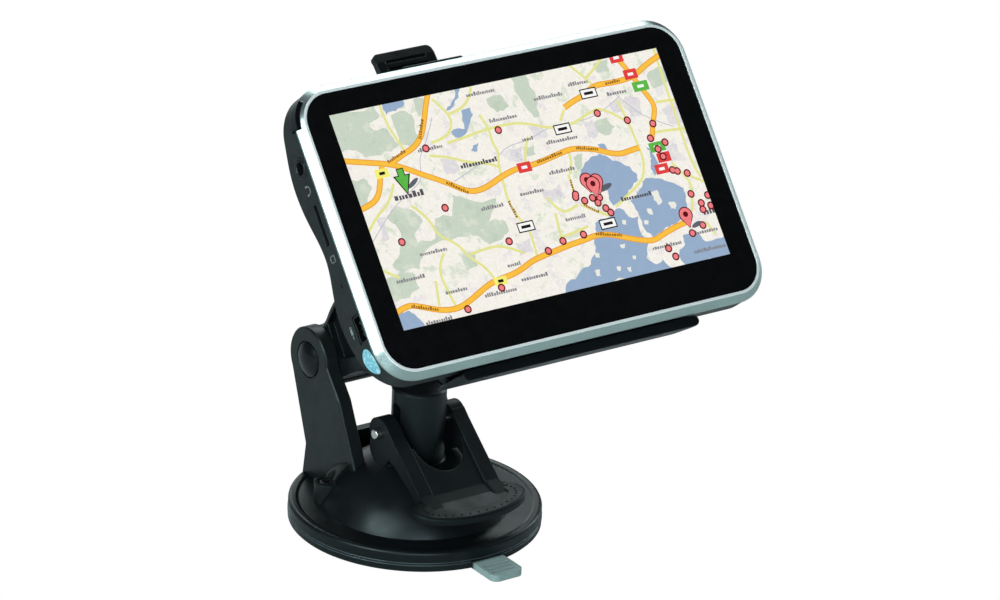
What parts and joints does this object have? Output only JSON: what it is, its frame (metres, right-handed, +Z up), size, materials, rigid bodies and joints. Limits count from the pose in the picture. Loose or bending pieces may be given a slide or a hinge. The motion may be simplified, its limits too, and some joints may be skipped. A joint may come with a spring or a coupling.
{
  "type": "portable gps navigator",
  "caption": "Touch-screen GPS navigator in a clip-on cradle, held by a tilting and swivelling arm on a lever-locked suction cup.",
  "frame": {"origin": "centre of the suction cup's underside, on the plane of its sealing ring", "axes": "+Z up, out of the cup along the column; +Y away from the driver; +X to the driver's right, along the tilt pivot"},
  "size_m": [0.1317, 0.1193, 0.1528],
  "materials": {
    "cup_rubber": "soft satin black",
    "base_plastic": "fine-grained black",
    "fork_plastic": "satin black",
    "lever_plastic": "satin black",
    "arm_plastic": "satin black",
    "stud_plastic": "moulded",
    "bright_steel": "polished steel",
    "screw_steel": "blackened steel",
    "housing_plastic": "textured dark grey",
    "bezel_silver": "satin silver paint",
    "screen_glass": "clear, black border printed behind",
    "lcd": "lit display",
    "chassis": "black",
    "board": "green solder mask",
    "tin": "tinned steel",
    "battery_wrap": "shrink film",
    "foam": "foam tape",
    "ceramic": "fired ceramic",
    "port_black": "black",
    "button_gloss": "piano black",
    "sticker": "printed film, left blank"
  },
  "bodies": {
    "base": {"suction_cup": "cup_rubber", "base_housing": "base_plastic", "column_cap": "base_plastic", "fork": "fork_plastic", "fork_screws": "screw_steel", "pivot_bolt": "screw_steel", "pivot_washer": "screw_steel", "pivot_nut": "screw_steel", "stud_spring": "bright_steel"},
    "stud": {"pull_stud": "stud_plastic", "lever_pin": "bright_steel"},
    "lever": {"lever": "lever_plastic"},
    "tilt_arm": {"tilt_knuckle": "arm_plastic", "swivel_screw": "screw_steel", "swivel_washer": "bright_steel"},
    "cradle": {"neck": "arm_plastic", "neck_screws": "screw_steel", "cradle_plate": "arm_plastic", "latch_pin": "bright_steel", "latch_spring": "bright_steel", "rear_housing": "housing_plastic", "housing_screws": "screw_steel", "bezel_frame": "bezel_silver", "touch_glass": "screen_glass", "lcd_panel": "lcd", "lcd_frame": "chassis", "main_board": "board", "shield_can": "tin", "battery_pack": "battery_wrap", "battery_pad": "foam", "speaker": "chassis", "gps_antenna": "ceramic", "headphone_jack": "port_black", "card_socket": "tin", "usb_socket": "tin", "inspection_sticker": "sticker"},
    "latch": {"release_latch": "arm_plastic"},
    "button": {"power_button": "button_gloss"}
  },
  "joints": [
    {"name": "tilt_hinge", "type": "hinge", "parent": "base", "child": "tilt_arm", "pos_m": [0, 0.031, 0.0425], "axis": [1, 0, 0], "range_deg": [-60, 8]},
    {"name": "swivel", "type": "hinge", "parent": "tilt_arm", "child": "cradle", "pos_m": [0, 0.01142, 0.05836], "axis": [0, -0.7771, 0.6293], "range_deg": [-90, 90]},
    {"name": "lever_hinge", "type": "hinge", "parent": "stud", "child": "lever", "pos_m": [0, 0, 0.03], "axis": [-1, 0, 0], "range_deg": [0, 75]},
    {"name": "stud_slide", "type": "slide", "parent": "base", "child": "stud", "axis": [0, 0, 1], "range_m": [-0.0024, 0], "deforming": ["stud_spring"]},
    {"name": "latch_hinge", "type": "hinge", "parent": "cradle", "child": "latch", "pos_m": [-0.0135, -0.01607, 0.13247], "axis": [-1, 0, 0], "range_deg": [0, 8], "stiffness_Nm_per_rad": 0.4, "springref_deg": -5.73},
    {"name": "button_press", "type": "slide", "parent": "cradle", "child": "button", "axis": [0.91, -0.261, -0.3223], "range_m": [0, 0.00045], "stiffness_N_per_m": 1500, "springref_m": -0.0003}
  ],
  "couplings": [
    {"joint": "stud_slide", "follows": "lever_hinge", "m_per_rad": -0.0018325}
  ]
}
